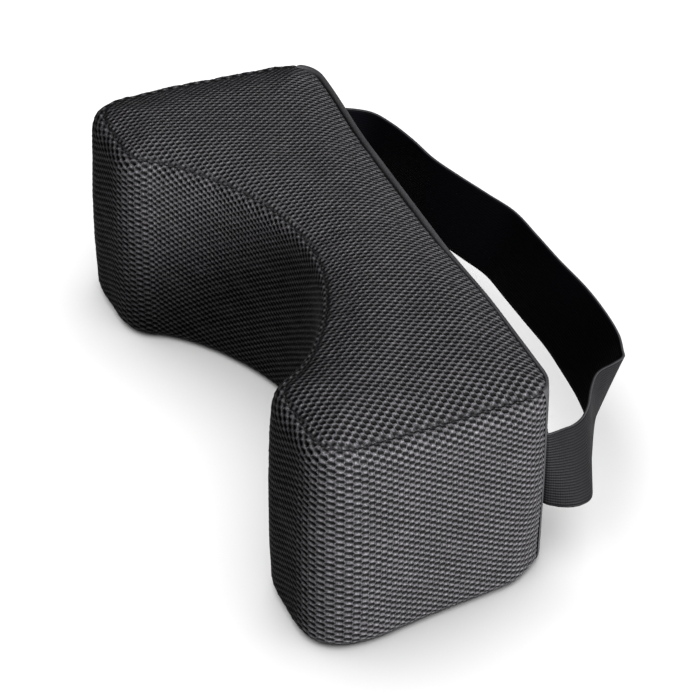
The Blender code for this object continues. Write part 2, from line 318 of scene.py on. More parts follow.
def seam_height(x, y):
    """Height of the top seam, from its heights at the four corners."""
    width = FRONT_HALF_WIDTH_FAR + FRONT_HALF_WIDTH_NEAR
    share_x = smooth_step((x + FRONT_HALF_WIDTH_FAR) / width)
    share_y = np.clip(-y / SEAM_DEPTH_FAR, 0.0, 1.0)
    back = lerp(SEAM_HEIGHT_BACK_FAR, SEAM_HEIGHT_BACK_NEAR, share_x)
    front = lerp(SEAM_HEIGHT_TIP_FAR, SEAM_HEIGHT_TIP_NEAR, share_x)
    return lerp(back, front, share_y)


# Unevenness

RIPPLE_WAVES = 7
RIPPLE_SPREAD = (0.7, 1.4)
RIPPLE_SIZE = 0.8


def ripple(points, wavelength, seed):
    """Soft unevenness at points (n, 3), mostly from -1 to 1, made of a few crossed waves."""
    rng = np.random.default_rng(seed)
    total = np.zeros(len(points))
    for _ in range(RIPPLE_WAVES):
        axis = rng.normal(size=3)
        axis /= np.linalg.norm(axis)
        scale = 2.0 * math.pi / (wavelength * rng.uniform(*RIPPLE_SPREAD))
        total += np.sin(points @ axis * scale + rng.uniform(0.0, 2.0 * math.pi))
    return total / math.sqrt(RIPPLE_WAVES) * RIPPLE_SIZE


# Surfaces

ROLL_SAMPLES = 33
PAST_SEAM_DROP = 0.6
DISTANCE_BATCH = 4000

# Sewn seam: depths and heights in mm, reaches and wavelengths in metres
GROOVE_DEPTH = 0.9
GROOVE_REACH = 0.0012
PUCKER_HEIGHT = 0.22
PUCKER_REACH = 0.0060
PUCKER_START = 0.002
PUCKER_WAVE = 0.0089
PUCKER_WAVE_SHARE = 0.5
PUCKER_DRIFT = 2.1
PUCKER_DRIFT_RUN = 0.031
PUCKER_SECOND_WAVE = 0.0147
PUCKER_SECOND_START = 1.3

# Lumps of the whole surface: height in mm, wavelength in metres, seed
LUMPS = ((0.35, 0.055, 3), (0.12, 0.018, 5))


def roll_profile(swell):
    """The turn from wall to seam, for each swell: how far out, how high, and the length so far."""
    turn = np.linspace(0.0, 0.5 * math.pi, ROLL_SAMPLES)
    out = swell[:, None] * np.cos(turn)
    rise = np.tile(ROLL_HEIGHT * np.sin(turn), (len(swell), 1))
    steps = np.hypot(np.diff(out, axis=1), np.diff(rise, axis=1))
    run = np.concatenate([np.zeros((len(swell), 1)), np.cumsum(steps, axis=1)], axis=1)
    return out, rise, run


def wall_point(s, t):
    """Points of the side band at arc lengths s and shares t of its height, and how far
    each lies from the seam."""
    x, y = loop.place_at(s)
    nx, ny = loop.normal_at(s)
    swell = loop.read(loop.swell, s)
    radius = loop.read(loop.radius, s)
    fullness = np.minimum(swell / SWELL_TIP, 1.0)
    roll_start = seam_height(x, y) - ROLL_HEIGHT
    out, rise, run = roll_profile(swell)
    base_run = 0.5 * math.pi * radius
    wall_run = roll_start - radius
    whole = base_run + wall_run + run[:, -1]
    d = t * whole

    angle = d / radius
    base_offset = swell + WALL_FLARE * fullness - radius + radius * np.sin(angle)
    base_height = radius * (1.0 - np.cos(angle))

    share = (d - base_run) / wall_run
    bow = WALL_BOW * np.sin(math.pi * share) + WALL_FLARE * (1.0 - share)
    wall_offset = swell + bow * fullness
    wall_height = lerp(radius, roll_start, share)

    over = np.clip(d - base_run - wall_run, 0.0, run[:, -1])
    rows = np.arange(len(s))
    place = (run[:, 1:] < over[:, None]).sum(axis=1)
    place = np.minimum(place, ROLL_SAMPLES - 2)
    part = (over - run[rows, place]) / (run[rows, place + 1] - run[rows, place])
    roll_offset = lerp(out[rows, place], out[rows, place + 1], part)
    roll_height = roll_start + lerp(rise[rows, place], rise[rows, place + 1], part)

    stretches = [d < base_run, d < base_run + wall_run]
    past = np.maximum(d - whole, 0.0)
    offset = np.select(stretches, [base_offset, wall_offset], roll_offset) - past
    height = np.select(stretches, [base_height, wall_height], roll_height)
    height = height - past * PAST_SEAM_DROP
    return np.stack([x + nx * offset, y + ny * offset, height], axis=1), np.abs(whole - d)


def distance_to_seam(xy):
    """Distance inward from the seam outline (negative outside), and the nearest outline point."""
    near = np.empty(len(xy))
    index = np.empty(len(xy), dtype=int)
    for start in range(0, len(xy), DISTANCE_BATCH):
        batch = slice(start, start + DISTANCE_BATCH)
        part = xy[batch]
        squared = ((part[:, None, :] - loop.xy[None, :, :]) ** 2).sum(axis=2)
        best = squared.argmin(axis=1)
        index[batch] = best
        near[batch] = np.sqrt(squared[np.arange(len(part)), best])
    side = ((xy - loop.xy[index]) * loop.normal[index]).sum(axis=1)
    return np.where(side > 0.0, -near, near), index


def top_point(xy):
    """Points of the top panel, how far each lies from the seam, and the nearest outline point."""
    d, index = distance_to_seam(xy)
    outside = d < 0.0
    xy = np.where(outside[:, None], loop.xy[index], xy)
    d = np.maximum(d, 0.0)
    fall = 1.0 - np.minimum(d / CROWN_RUN, 1.0)
    z = seam_height(xy[:, 0], xy[:, 1]) + CROWN * (1.0 - fall ** 2)
    return np.column_stack([xy, z]), d, index


def sew(points, normals, d, s):
    """Moves surface points in at the seam, with the pucker of the sewn edge."""
    drift = PUCKER_DRIFT * np.sin(s / PUCKER_DRIFT_RUN)
    wave = np.sin(s / PUCKER_WAVE * 2 * math.pi + drift) * PUCKER_WAVE_SHARE
    wave = wave + np.sin(s / PUCKER_SECOND_WAVE * 2 * math.pi + PUCKER_SECOND_START)
    groove = -GROOVE_DEPTH * fade(d, GROOVE_REACH)
    pucker = PUCKER_HEIGHT * wave * fade(d, PUCKER_REACH) * (1.0 - fade(d, PUCKER_START))
    lumps = sum(height * ripple(points, wavelength, seed) for height, wavelength, seed in LUMPS)
    return points + normals * ((groove + pucker + lumps)[:, None] * MM)


# Knit lattice

# A cell's six corners, then the middles of the two edges that it shares with the next
# stitches of its own course
CORNERS = np.array([
    (2 / 3, 0.0), (1 / 3, 0.5), (-1 / 3, 0.5), (-2 / 3, 0.0), (-1 / 3, -0.5), (1 / 3, -0.5),
    (0.0, 0.5), (0.0, -0.5),
])
EDGE_MIDDLES = {1: 6, 4: 7}

# Corners lie on thirds of a course and halves of a stitch
CORNER_GRID = (3, 2)
KEY_SHIFT = 100000
KEY_STRIDE = 1000000

# Shape of a hole, and its half size in courses and stitches
HOLE = np.array([(1.0, 0.0), (0.78, 1.0), (-0.78, 1.0), (-1.0, 0.0), (-0.78, -1.0), (0.78, -1.0)])
SIDE_HOLE = (0.52, 0.175)
SIDE_SLANT = -0.15
TOP_HOLE = (0.45, 0.235)
HOLE_SPREAD = (0.86, 1.02)
HOLE_AT_SEAM = 0.55
HOLE_GROWTH = 0.45
HOLE_GROWTH_FROM = 0.0008
HOLE_GROWTH_RUN = 0.0025

# Relief of the net in mm
NET_SEED = 11
CREST_HEIGHT = 0.16
CREST_SPREAD = 0.05
MIDDLE_LIFT = 0.10
RIM_DIP = 0.22
PIT_DEPTH = 2.0
SMALLEST_PIT = 0.05

# Painted shade of crests, rims and pits, read by the material: corners darker than the edge
# middles, which are left light as painted highlights, crests darker beside the seam's groove, rims
# darker and pits near black
CREST_SHADE = 0.15
SEAM_SHADE = 0.12
SEAM_SHADE_REACH = 0.0013
RIM_SHADE = 0.30
PIT_SHADE = 1.3
PIT_SHADE_START = 0.15

# Twice the area of the smallest face that is kept, in square metres
SMALLEST_FACE = 2e-9


def running_total(density, at):
    """The turns before each place, for a density in turns per metre."""
    return np.concatenate([[0.0], np.cumsum(0.5 * (density[1:] + density[:-1]) * np.diff(at))])


def staggered(courses, stitches):
    """Course and stitch numbers of cells, every second course moved by half a stitch."""
    cells = []
    for course in courses:
        start = 0.5 if course % 2 else 0.0
        cells += [(course, stitch + start) for stitch in stitches]
    return np.array(cells, dtype=float)


def lattice(cells):
    """The shared corners of the cells as (course, stitch), and each cell's corners by index.

    cells has whole course numbers, and stitch numbers in halves.
    """
    keys = np.rint((cells[:, None, :] + CORNERS[None]) * CORNER_GRID).astype(np.int64)
    flat = keys.reshape(-1, 2)
    code = (flat[:, 0] + KEY_SHIFT) * KEY_STRIDE + flat[:, 1] + KEY_SHIFT
    _, first, back = np.unique(code, return_index=True, return_inverse=True)
    return flat[first] / CORNER_GRID, back.reshape(len(cells), len(CORNERS))


def net_faces(corner_index, rim_index, pit_index):
    """Faces from each cell's corners to its rim, and from its rim to its pit."""
    quads = []
    tris = []
    for k in range(6):
        after = (k + 1) % 6
        corner, next_corner = corner_index[:, k], corner_index[:, after]
        rim, next_rim = rim_index[:, k], rim_index[:, after]
        if k in EDGE_MIDDLES:
            middle = corner_index[:, EDGE_MIDDLES[k]]
            tris.append(np.stack([corner, middle, rim], axis=1))
            tris.append(np.stack([middle, next_rim, rim], axis=1))
            tris.append(np.stack([middle, next_corner, next_rim], axis=1))
        else:
            quads.append(np.stack([corner, next_corner, next_rim, rim], axis=1))
        tris.append(np.stack([rim, next_rim, pit_index], axis=1))
    return np.vstack(quads), np.vstack(tris)


def honeycomb(name, cells, place, openness, hole, slant=0.0, flip=False):
    """A net of six-sided holes as a mesh: crests between the holes, rims and pits, with painted
    shade that makes the pits dark.

    place(course, stitch) gives points, normals and distances to the seam, and
    openness(points, distances) scales each hole.
    """
    corners, corner_index = lattice(cells)
    count = len(cells)
    rng = np.random.default_rng(NET_SEED)
    middle, middle_normal, middle_d = place(cells[:, 0], cells[:, 1])
    scale = np.minimum(openness(middle, middle_d) * rng.uniform(*HOLE_SPREAD, count), 1.0)
    ring = HOLE * hole
    ring[:, 1] += slant * ring[:, 0]
    rim = (cells[:, None, :] + ring[None] * scale[:, None, None]).reshape(-1, 2)
    corner_point, corner_normal, corner_d = place(corners[:, 0], corners[:, 1])
    rim_point, rim_normal, _ = place(rim[:, 0], rim[:, 1])
    thirds = CORNER_GRID[0]
    edge_middle = np.rint(corners[:, 0] * thirds).astype(int) % thirds == 0
    crest = rng.normal(CREST_HEIGHT, CREST_SPREAD, len(corners)) + MIDDLE_LIFT * edge_middle
    crest = crest * MM
    dip = np.repeat(-RIM_DIP * MM * np.clip(scale, 0.0, 1.0), 6)
    pit = -(PIT_DEPTH * np.clip(scale, SMALLEST_PIT, 1.0)) * MM
    points = np.vstack([
        corner_point + corner_normal * crest[:, None],
        rim_point + rim_normal * dip[:, None],
        middle + middle_normal * pit[:, None],
    ])
    points[:, 2] = np.maximum(points[:, 2], 0.0)
    # Painted shade for each point: corners and edge middles, then rims, then pits
    painted_shade = np.concatenate([
        CREST_SHADE * ~edge_middle + SEAM_SHADE * fade(corner_d, SEAM_SHADE_REACH),
        np.full(6 * count, RIM_SHADE),
        np.clip(scale * PIT_SHADE - PIT_SHADE_START, 0.0, 1.0),
    ])
    rim_index = len(corners) + np.arange(6 * count).reshape(count, 6)
    pit_index = len(corners) + 6 * count + np.arange(count)
    quads, tris = net_faces(corner_index, rim_index, pit_index)
    if flip:
        quads = quads[:, ::-1]
        tris = tris[:, ::-1]
    return make_mesh(name, points, quads, tris, painted_shade)


def add_object(name, data):
    obj = bpy.data.objects.new(name, data)
    bpy.context.scene.collection.objects.link(obj)
    return obj


def add_layer(mesh, name, values):
    layer = mesh.attributes.new(name, "FLOAT", "POINT")
    layer.data.foreach_set("value", values.astype(np.float32))


def double_area(points, group):
    """Twice the area of each face of a group."""
    corner = points[group]
    around = corner - corner.mean(axis=1, keepdims=True)
    size = np.zeros(len(group))
    sides = group.shape[1]
    for k in range(sides):
        size += np.linalg.norm(np.cross(around[:, k], around[:, (k + 1) % sides]), axis=1)
    return size


def make_mesh(name, points, quads, tris=None, painted_shade=None):
    """A mesh object from numpy faces, with collapsed faces and loose points left out."""
    groups = [group for group in (quads, tris) if group is not None]
    faces = [group[double_area(points, group) > SMALLEST_FACE] for group in groups]
    used = np.unique(np.concatenate([group.ravel() for group in faces]))
    renumber = np.full(len(points), -1)
    renumber[used] = np.arange(len(used))
    points = points[used] + np.array((0.0, BACK_Y, 0.0))
    loops = np.concatenate([renumber[group].ravel() for group in faces])
    totals = np.concatenate([np.full(len(group), group.shape[1]) for group in faces])
    starts = np.concatenate([[0], np.cumsum(totals)[:-1]])
    mesh = bpy.data.meshes.new(name)
    mesh.vertices.add(len(points))
    mesh.vertices.foreach_set("co", points.astype(np.float32).ravel())
    mesh.loops.add(len(loops))
    mesh.loops.foreach_set("vertex_index", loops.astype(np.int32))
    mesh.polygons.add(len(totals))
    mesh.polygons.foreach_set("loop_start", starts.astype(np.int32))
    mesh.update(calc_edges=True)
    mesh.validate()
    mesh.shade_smooth()
    if painted_shade is not None:
        add_layer(mesh, "pit", painted_shade[used])
    return add_object(name, mesh)


def grid_quads(rows, cols, turned=False):
    """Faces of a grid of points, or the same faces the other way round."""
    index = np.arange(rows * cols).reshape(rows, cols)
    ring = [index[:-1, :-1], index[:-1, 1:], index[1:, 1:], index[1:, :-1]]
    if turned:
        ring = [ring[0], ring[3], ring[2], ring[1]]
    return np.stack(ring, axis=-1).reshape(-1, 4)


# Side band

SIDE_ROWS = 34
SIDE_TOP_OVERLAP = 0.4
SIDE_COURSE = 0.0031
SIDE_COURSE_HOLLOW = 0.00250
COURSE_SAMPLES = 2400
COURSE_CHANGE_RUN = 0.05
COURSE_CHANGE_START = 0.3
SIDE_HOLE_RIPPLE = 0.12
SIDE_HOLE_SEED = 21
HOLE_RIPPLE_WAVE = 0.016

# Normals point up above this height and down below it, where the wall turns
HALF_HEIGHT = 0.0600
TURN_WEIGHT = 0.5

# Steps for slopes by differences
ARC_STEP = 0.0008
HEIGHT_STEP = 0.006
TOP_STEP = 0.0006
SMALLEST_LENGTH = 1e-12


def side_courses():
    """The whole number of the band's courses, and how many lie before each arc length.

    They are closer together in the hollow.
    """
    at = np.linspace(0.0, loop.length, COURSE_SAMPLES + 1)
    in_hollow = np.minimum(at - loop.marks[1], loop.marks[2] - at) / COURSE_CHANGE_RUN
    gap = lerp(SIDE_COURSE, SIDE_COURSE_HOLLOW, smooth_step(in_hollow + COURSE_CHANGE_START))
    turns = running_total(1 / gap, at)
    whole = int(round(turns[-1] / 2.0)) * 2
    turns *= whole / turns[-1]
    return whole, turns, at


course_count, course_turns, course_at = side_courses()


def course_to_arc(course):
    course = np.asarray(course, dtype=float)
    laps = np.floor(course / course_count)
    return np.interp(course - laps * course_count, course_turns, course_at) + laps * loop.length


def wall_with_normals(s, t):
    """Points of the side band, their normals by differences, and distances to the seam."""
    points, d = wall_point(s, t)
    along = wall_point(s + ARC_STEP, t)[0] - wall_point(s - ARC_STEP, t)[0]
    up = wall_point(s, t + HEIGHT_STEP)[0] - wall_point(s, t - HEIGHT_STEP)[0]
    normals = np.cross(along, up)
    normals /= np.maximum(np.linalg.norm(normals, axis=1), SMALLEST_LENGTH)[:, None]
    return points, normals, d


def side_place(course, stitch):
    s = course_to_arc(course)
    points, normals, d = wall_with_normals(s, stitch / SIDE_ROWS)
    nx, ny = loop.normal_at(s)
    away = np.where(points[:, 2] > HALF_HEIGHT, TURN_WEIGHT, -TURN_WEIGHT)
    outward = normals[:, 0] * nx + normals[:, 1] * ny + away * normals[:, 2]
    normals = np.where((outward < 0.0)[:, None], -normals, normals)
    return sew(points, normals, d, s), normals, d


def hole_growth(d):
    """Scale of the holes, which are smaller beside the seam."""
    return HOLE_AT_SEAM + HOLE_GROWTH * smooth_step((d - HOLE_GROWTH_FROM) / HOLE_GROWTH_RUN)


def side_open(points, d):
    uneven = SIDE_HOLE_RIPPLE * ripple(points, HOLE_RIPPLE_WAVE, SIDE_HOLE_SEED)
    return hole_growth(d) * (1.0 + uneven)


def side_cells():
    cells = staggered(range(course_count), range(SIDE_ROWS + 1))
    return cells[cells[:, 1] < SIDE_ROWS + SIDE_TOP_OVERLAP]


# Top panel

TOP_COURSES_PER_M = 318.0
TOP_SHEAR = -68.0
TOP_TILT = 20.0
TOP_SOLVE_ROUNDS = 12
TOP_COURSES = range(-70, 30)
TOP_STITCHES = range(-70, 71)
TOP_REACH_X = 0.165
TOP_FRONT_Y = -0.145
TOP_BACK_Y = 0.01
TOP_SEAM_OVERLAP = 0.0022
TOP_HOLE_RIPPLE = 0.08
TOP_HOLE_SEED = 22

# Stitches per metre along a course: fewer over the near arm
STITCHES_PER_M = 325.0
STITCHES_FEWER = 62.0
STITCHES_FEWER_FROM = 0.010
STITCHES_FEWER_RUN = 0.110
STITCH_REACH = 0.22
STITCH_SAMPLES = 881

# Wider holes in a row beside the seam of the near arm
WIDE_ROW = 0.22
WIDE_ROW_FROM_SEAM = 0.0075
WIDE_ROW_REACH = 0.005
WIDE_ROW_FROM_X = 0.06
WIDE_ROW_RUN_X = 0.05


def stitch_density(x):
    fewer = smooth_step((x - STITCHES_FEWER_FROM) / STITCHES_FEWER_RUN)
    return STITCHES_PER_M - STITCHES_FEWER * fewer


stitch_x = np.linspace(-STITCH_REACH, STITCH_REACH, STITCH_SAMPLES)
stitch_turns = running_total(stitch_density(stitch_x), stitch_x)


def top_xy(course, stitch):
    """Where courses and stitches cross, found in rounds since each bends the other."""
    x = np.zeros(len(course))
    for _ in range(TOP_SOLVE_ROUNDS):
        y = (course - TOP_SHEAR * x) / TOP_COURSES_PER_M
        x = np.interp(stitch - TOP_TILT * y + stitch_turns[-1] * 0.5, stitch_turns, stitch_x)
    return np.stack([x, y], axis=1)


def top_place(course, stitch):
    xy = top_xy(course, stitch)
    points, d, index = top_point(xy)
    slope = []
    for shift in ((TOP_STEP, 0.0), (0.0, TOP_STEP)):
        ahead = top_point(xy + shift)[0]
        behind = top_point(xy - shift)[0]
        slope.append((ahead[:, 2] - behind[:, 2]) / (2 * TOP_STEP))
    normals = np.stack([-slope[0], -slope[1], np.ones(len(points))], axis=1)
    normals /= np.linalg.norm(normals, axis=1)[:, None]
    return sew(points, normals, d, loop.at[index]), normals, d


def top_open(points, d):
    near_arm = smooth_step((points[:, 0] - WIDE_ROW_FROM_X) / WIDE_ROW_RUN_X)
    wide = WIDE_ROW * fade(d - WIDE_ROW_FROM_SEAM, WIDE_ROW_REACH) * near_arm
    uneven = TOP_HOLE_RIPPLE * ripple(points, HOLE_RIPPLE_WAVE, TOP_HOLE_SEED)
    return (hole_growth(d) + wide) * (1.0 + uneven)


def top_cells():
    cells = staggered(TOP_COURSES, TOP_STITCHES)
    x, y = top_xy(cells[:, 0], cells[:, 1]).T
    cells = cells[(np.abs(x) < TOP_REACH_X) & (y > TOP_FRONT_Y) & (y < TOP_BACK_Y)]
    d, _ = distance_to_seam(top_xy(cells[:, 0], cells[:, 1]))
    return cells[d > -TOP_SEAM_OVERLAP]


side = honeycomb("side_mesh", side_cells(), side_place, side_open, SIDE_HOLE, SIDE_SLANT)
top = honeycomb("top_mesh", top_cells(), top_place, top_open, TOP_HOLE, flip=True)


# Base

BASE_POINTS = 480
BASE_LIFT = 0.0001


def build_base():
    s = np.linspace(0.0, loop.length, BASE_POINTS + 1)[:-1]
    rim, _ = wall_point(s, np.zeros(len(s)))
    rim[:, 2] = BASE_LIFT
    mesh = bpy.data.meshes.new("base_cloth")
    corners = [tuple(point + (0.0, BACK_Y, 0.0)) for point in rim]
    mesh.from_pydata(corners, [], [tuple(range(len(rim)))[::-1]])
    mesh.update()
    return add_object("base_cloth", mesh)


base = build_base()


# Back panel

PANEL_ALONG = 220
PANEL_UP = 60
PANEL_FOOT = 0.035
PANEL_FOOT_RUN = 0.03
PANEL_EDGE_ROUND = 0.004
PANEL_EDGE_SHARE = 0.45
PANEL_EDGE_RUN = 0.016
PANEL_GAP = 0.0004

# The upper edge's roll over the seam, and its height where the panel is tight and where it is slack
ROLL_STEPS = 8
ROLL_LIFT_TIGHT = 0.0002
ROLL_LIFT_SLACK = 0.0017
ROLL_TUCK = 0.0022


def build_back_panel():
    """Smooth knit over the back, from corner to corner, its upper edge rolled over the seam."""
    on_back = loop.at[loop.normal[:, 1] > PANEL_EDGE_TURN]
    s = np.linspace(on_back[0], on_back[-1], PANEL_ALONG + 1)
    outward = flat_normals(s)
    edge = np.minimum(s - on_back[0], on_back[-1] - s)
    edge_turn = np.clip(edge / PANEL_EDGE_ROUND, 0.0, 1.0)
    edge_round = np.sqrt(edge_turn * (2.0 - edge_turn))
    edge_fill = lerp(PANEL_EDGE_SHARE, 1.0, smooth_step(edge / PANEL_EDGE_RUN))
    grid = []
    for t in np.linspace(0.0, 1.0, PANEL_UP + 1):
        height_share = PANEL_FOOT + (1.0 - PANEL_FOOT) * t
        points, _ = wall_point(s, np.full(len(s), height_share))
        puff = PANEL_THICKNESS * (1.0 - np.exp(-(t / PANEL_FOOT_RUN)) ** 2)
        puff = puff * edge_round * edge_fill * panel_fullness(points[:, 0])
        grid.append(points + outward * (puff + PANEL_GAP)[:, None])
    top_edge = grid[-1]
    x = top_edge[:, 0]
    slack = smooth_step((PANEL_TIGHT_FROM - x) / PANEL_TIGHT_RUN)
    lift = lerp(ROLL_LIFT_TIGHT, ROLL_LIFT_SLACK, slack)
    roll = 0.5 * PANEL_THICKNESS * panel_fullness(x) + PANEL_GAP
    for step in range(1, ROLL_STEPS + 1):
        angle = math.pi * step / ROLL_STEPS
        ring = top_edge - outward * (roll * (1.0 - math.cos(angle)))[:, None]
        ring[:, 2] += lift * math.sin(angle)
        if step == ROLL_STEPS:
            ring[:, 2] -= ROLL_TUCK
        grid.append(ring)
    grid = np.array(grid)
    return make_mesh("back_cloth", grid.reshape(-1, 3), grid_quads(*grid.shape[:2]))


back = build_back_panel()


# Strap

STRAP_WIDTH = 0.0455
STRAP_THICKNESS = 0.0014
STRAP_STEPS_PER_TURN = 10
STRAP_STEPS_ACROSS = 20
STRAP_TURNS = (
    # Lower edge x, y, z, then how far the upper edge lies from it in x and y, in mm. Most rows
    # were solved by another program for the fitted camera and not chosen by hand. See report.md,
    # Rules not met.
    (-137.5, 1.6, 37.0, 0.0, 0.0),
    (-143.2, 1.6, 37.0, 0.2, 0.2),
    (-147.0, 4.2, 37.0, 1.5, 0.8),
    (-146.8, 10.4, 37.2, 3.0, 2.0),
    (-134.4, 23.1, 37.6, 1.4, 4.5),
    (-117.5, 28.3, 38.0, -1.1, 6.0),
    (-97.1, 31.6, 38.2, -2.6, 7.5),
    (-78.7, 34.8, 38.2, -1.6, 7.4),
    (-60.9, 39.1, 38.2, -0.5, 9.4),
    (-44.1, 44.3, 38.2, 2.5, 11.9),
    (-25.7, 49.8, 38.2, 3.5, 13.6),
    (-5.5, 50.8, 38.2, 5.0, 14.8),
    (16.7, 51.7, 38.2, 6.0, 15.7),
    (40.9, 52.7, 38.2, 7.1, 18.1),
    (63.0, 51.5, 38.2, 6.6, 19.6),
    (81.0, 50.1, 38.0, 5.6, 19.1),
    (95.0, 47.8, 37.8, 4.1, 17.1),
    (104.0, 45.7, 37.6, 0.6, 16.6),
    (111.5, 40.9, 37.4, -3.5, 13.1),
    (121.2, 37.6, 37.0, -10.2, 6.3),
    (132.3, 31.2, 36.8, -13.5, 5.2),
    (143.7, 26.1, 36.6, -14.5, 3.2),
    (151.7, 21.2, 36.4, -15.9, 1.3),
    (153.8, 14.3, 36.4, -14.4, 1.3),
    (152.7, 8.2, 36.6, -11.9, 1.3),
    (149.8, 2.9, 36.8, -7.5, 1.3),
    (145.0, -1.8, 37.0, -2.2, 1.0),
    (139.0, 0.2, 37.0, 0.0, 0.0),
)


def curve_through(rows, place):
    """A smooth curve through rows of numbers, read at places counted in rows."""
    rows = np.array(rows)
    last = len(rows) - 1
    start = np.minimum(place.astype(int), last - 1)
    share = (place - start)[:, None]
    p0 = rows[np.maximum(start - 1, 0)]
    p1 = rows[start]
    p2 = rows[start + 1]
    p3 = rows[np.minimum(start + 2, last)]
    bend = (2.0 * p0 - 5.0 * p1 + 4.0 * p2 - p3) * share ** 2
    twist = (3.0 * p1 - p0 - 3.0 * p2 + p3) * share ** 3
    return 0.5 * (2.0 * p1 + (p2 - p0) * share + bend + twist)


def build_strap():
    """The band as a thick sheet, and the length of its middle line."""
    turns = len(STRAP_TURNS) - 1
    places = np.linspace(0.0, turns, turns * STRAP_STEPS_PER_TURN + 1)
    rows = curve_through(STRAP_TURNS, places)
    lower = rows[:, :3] * MM
    lean = rows[:, 3:] * MM
    rise = np.sqrt(STRAP_WIDTH ** 2 - (lean ** 2).sum(axis=1))
    upper = lower + np.column_stack([lean, rise])
    shares = np.linspace(0.0, 1.0, STRAP_STEPS_ACROSS + 1)
    from_lower = lower[:, None, :] * (1 - shares)[None, :, None]
    grid = from_lower + upper[:, None, :] * shares[None, :, None]
    run = arc_lengths(0.5 * (lower + upper), closed=False)
    columns, points_across = grid.shape[:2]
    quads = grid_quads(columns, points_across, turned=True)
    obj = make_mesh("elastic_strap", grid.reshape(-1, 3), quads)
    add_layer(obj.data, "across", np.tile(shares, columns))
    add_layer(obj.data, "along", np.repeat(run, points_across))
    solid = obj.modifiers.new("band thickness", "SOLIDIFY")
    solid.thickness = STRAP_THICKNESS
    solid.offset = 0.0
    solid.use_even_offset = True
    solid.material_offset = 1
    solid.material_offset_rim = 2
    return obj, run[-1]


strap, strap_length = build_strap()


# Materials

STRAP_RIBS = 28
STRAP_WEFT = 0.0011


class Nodes:
    """Short way to make and link shader nodes."""

    def __init__(self, name):
        self.material = bpy.data.materials.new(name)
        self.material.use_nodes = True
        self.tree = self.material.node_tree
        self.shader = self.tree.nodes["Principled BSDF"]

    def add(self, kind, **values):
        node = self.tree.nodes.new("ShaderNode" + kind)
        for key, value in values.items():
            setattr(node, key, value)
        return node

    def link(self, a, b):
        self.tree.links.new(a, b)

    def feed(self, socket, value):
        """Links an output to a socket, or sets a number or a colour on it."""
        if isinstance(value, tuple):
            socket.default_value = (*value, 1.0)
        elif isinstance(value, (int, float)):
            socket.default_value = value
        else:
            self.link(value, socket)

    def math(self, operation, a, b=None):
        node = self.add("Math", operation=operation)
        self.feed(node.inputs[0], a)
        if b is not None:
            self.feed(node.inputs[1], b)
        return node.outputs[0]

    def mix(self, share, a, b):
        node = self.add("Mix", data_type="RGBA")
        self.feed(node.inputs[0], share)
        self.feed(node.inputs[6], a)
        self.feed(node.inputs[7], b)
        return node.outputs[2]

    def noise(self, vector, scale, detail=2.0):
        node = self.add("TexNoise")
        node.inputs["Scale"].default_value = scale
        node.inputs["Detail"].default_value = detail
        self.link(vector, node.inputs["Vector"])
        return node.outputs["Fac"]

    def ramp(self, value, low, high):
        node = self.add("MapRange", interpolation_type="SMOOTHSTEP")
        node.inputs["From Min"].default_value = low
        node.inputs["From Max"].default_value = high
        self.link(value, node.inputs["Value"])
        return node.outputs["Result"]

    def bump(self, height, distance, strength):
        node = self.add("Bump")
        node.inputs["Distance"].default_value = distance
        node.inputs["Strength"].default_value = strength
        self.link(height, node.inputs["Height"])
        return node.outputs["Normal"]

    def object_place(self):
        return self.add("TexCoord").outputs["Object"]

    def layer(self, name):
        return self.add("Attribute", attribute_name=name).outputs["Fac"]

    def finish(self, colour, normal, roughness, gloss):
        """Sets the shader and hands back the material."""
        self.link(colour, self.shader.inputs["Base Color"])
        self.link(normal, self.shader.inputs["Normal"])
        self.shader.inputs["Roughness"].default_value = roughness
        self.shader.inputs["Specular IOR Level"].default_value = gloss
        return self.material


def air_mesh():
    n = Nodes("air_mesh")
    place = n.object_place()
    yarn = n.noise(place, 1400.0, 3.0)
    cloud = n.noise(place, 45.0, 1.0)
    tone = n.math("ADD", n.math("MULTIPLY", yarn, 0.9), n.math("MULTIPLY", cloud, 0.08))
    thread = n.mix(n.ramp(tone, 0.28, 0.72), (0.014, 0.0135, 0.0146), (0.082, 0.079, 0.085))
    # Painted shade: the "pit" layer darkens rims, pits, corners and crests beside the seam towards
    # near black, and edge middles stay light as painted highlights
    colour = n.mix(n.ramp(n.layer("pit"), -0.02, 0.34), thread, (0.0008, 0.0008, 0.0009))
    return n.finish(colour, n.bump(yarn, 0.0004, 0.8), roughness=0.7, gloss=0.04)


def knit(name, dark, light, scale):
    n = Nodes(name)
    place = n.object_place()
    fine = n.noise(place, scale, 3.0)
    cloud = n.noise(place, 40.0, 2.0)
    tone = n.math("ADD", n.math("MULTIPLY", fine, 0.8), n.math("MULTIPLY", cloud, 0.4))
    colour = n.mix(n.ramp(tone, 0.35, 0.9), dark, light)
    return n.finish(colour, n.bump(fine, 0.0003, 0.5), roughness=0.75, gloss=0.15)


def ribbed(name, dark, light, rib_depth, gloss):
    n = Nodes(name)
    place = n.object_place()
    wobble = n.math("MULTIPLY", n.noise(place, 120.0), 0.004)
    across = n.math("ADD", n.layer("across"), wobble)
    rib = n.math("SINE", n.math("MULTIPLY", across, 2 * math.pi * STRAP_RIBS))
    weft = n.math("SINE", n.math("MULTIPLY", n.layer("along"), 2 * math.pi / STRAP_WEFT))
    height = n.math("ADD", rib, n.math("MULTIPLY", weft, 0.12))
    fine = n.noise(place, 1500.0, 2.0)
    # Painted shade and highlight: darker in the grooves between ribs and lighter on the ribs, with
    # random tone from the fine noise
    tone = n.math("ADD", n.math("MULTIPLY", height, 0.25), fine)
    colour = n.mix(n.ramp(tone, 0.15, 0.9), dark, light)
    return n.finish(colour, n.bump(height, rib_depth, 0.7), roughness=0.62, gloss=gloss)


